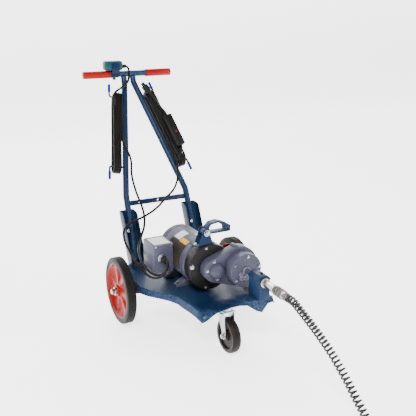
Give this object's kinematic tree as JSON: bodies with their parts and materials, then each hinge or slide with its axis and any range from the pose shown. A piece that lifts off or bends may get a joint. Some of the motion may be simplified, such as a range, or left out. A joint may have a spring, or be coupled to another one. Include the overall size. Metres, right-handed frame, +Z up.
{
  "type": "wheeled electric drain cleaning machine",
  "caption": "Wheeled electric drain-cleaning machine: geared motor on a steel deck turning a flexible drain cable, with an upright handle and a front caster.",
  "frame": {"origin": "middle of the machine's footprint box at floor level, measured without the cords", "axes": "+Z up, -Y the way the drain cable leaves, +X towards the right-hand wheel"},
  "size_m": [0.7217, 2.036, 0.9364],
  "materials": {
    "navy": "semi-gloss powder coat",
    "steel": "satin",
    "zinc": "bright zinc plating",
    "tyre": "matte",
    "red": "satin",
    "motor": "cast and painted",
    "charcoal": "as cast, painted",
    "copper": "wound laminations",
    "brass": "satin",
    "teal": "hammered paint",
    "black": "matte jacket",
    "vinyl": "painted rod, dipped tip"
  },
  "bodies": {
    "frame": {"adapter_plate": "charcoal", "axle": "steel", "axle_channel": "navy", "bearing_block": "navy", "bearing_bush": "brass", "bracket_left": "navy", "bracket_right": "navy", "caster_plate": "zinc", "conduit_box": "motor", "control_cord_lower": "black", "control_cord_upper": "black", "control_hank": "black", "cord_gland": "zinc", "cross_brace": "navy", "deck": "navy", "drain_cable": "steel", "drain_coil": "steel", "drain_end_coupling": "charcoal", "gear_cover": "motor", "gear_housing": "motor", "grip_left": "red", "grip_right": "red", "handlebar": "navy", "hook_lower_left": "vinyl", "hook_lower_right": "vinyl", "hook_upper_left": "vinyl", "hook_upper_right": "vinyl", "lift_bracket": "navy", "lift_pivot_bolt": "zinc", "motor_bearing_front": "steel", "motor_bearing_rear": "steel", "motor_front_bell": "motor", "motor_rear_bell": "motor", "motor_shell": "motor", "plug": "black", "power_cord_lower": "black", "power_cord_upper": "black", "power_hank": "black", "shock_guard": "black", "stator": "copper", "switch_box": "teal", "switch_clamp": "navy", "upright_left": "navy", "upright_right": "navy"},
    "wheel_left": {"wheel_left_hub": "red", "wheel_left_tyre": "tyre"},
    "wheel_right": {"wheel_right_hub": "red", "wheel_right_tyre": "tyre"},
    "caster_swivel": {"caster_fork": "zinc", "caster_axle": "steel"},
    "caster_roller": {"caster_wheel": "black"},
    "rotor": {"rotor_core": "steel", "rotor_shaft": "steel"},
    "output": {"drive_gear": "steel", "output_shaft": "steel", "shaft_coupling": "zinc", "cable_coupling": "charcoal"},
    "lift_loop": {"lift_handle": "navy"},
    "toggle": {"switch_toggle": "black"},
    "reset": {"reset_button": "red"}
  },
  "joints": [
    {"name": "wheel_left_spin", "type": "hinge", "parent": "frame", "child": "wheel_left", "pos_m": [-0.2467, 0.0352, 0.127], "axis": [1, 0, 0], "continuous": true},
    {"name": "wheel_right_spin", "type": "hinge", "parent": "frame", "child": "wheel_right", "pos_m": [0.2467, 0.0352, 0.127], "axis": [1, 0, 0], "continuous": true},
    {"name": "caster_turn", "type": "hinge", "parent": "frame", "child": "caster_swivel", "pos_m": [0, -0.3405, 0.14], "axis": [0, 0, 1], "continuous": true},
    {"name": "caster_roll", "type": "hinge", "parent": "caster_swivel", "child": "caster_roller", "pos_m": [0, -0.3615, 0.0635], "axis": [1, 0, 0], "continuous": true},
    {"name": "rotor_spin", "type": "hinge", "parent": "frame", "child": "rotor", "pos_m": [0, -0.0648, 0.267], "axis": [0, 1, 0], "continuous": true},
    {"name": "output_spin", "type": "hinge", "parent": "frame", "child": "output", "pos_m": [0.095, -0.3648, 0.267], "axis": [0, 1, 0], "continuous": true},
    {"name": "lift_swing", "type": "hinge", "parent": "frame", "child": "lift_loop", "pos_m": [-0.014, -0.2023, 0.396], "axis": [0, -1, 0], "range_deg": [0, 100]},
    {"name": "switch_throw", "type": "hinge", "parent": "frame", "child": "toggle", "pos_m": [-0.066, 0.5458, 0.9164], "axis": [1, 0, 0], "range_deg": [-20, 20]},
    {"name": "reset_press", "type": "slide", "parent": "frame", "child": "reset", "axis": [0, 0.841, -0.541], "range_m": [0, 0.0025], "stiffness_N_per_m": 300}
  ],
  "couplings": [
    {"joint": "output_spin", "follows": "rotor_spin", "ratio": -0.51515}
  ]
}
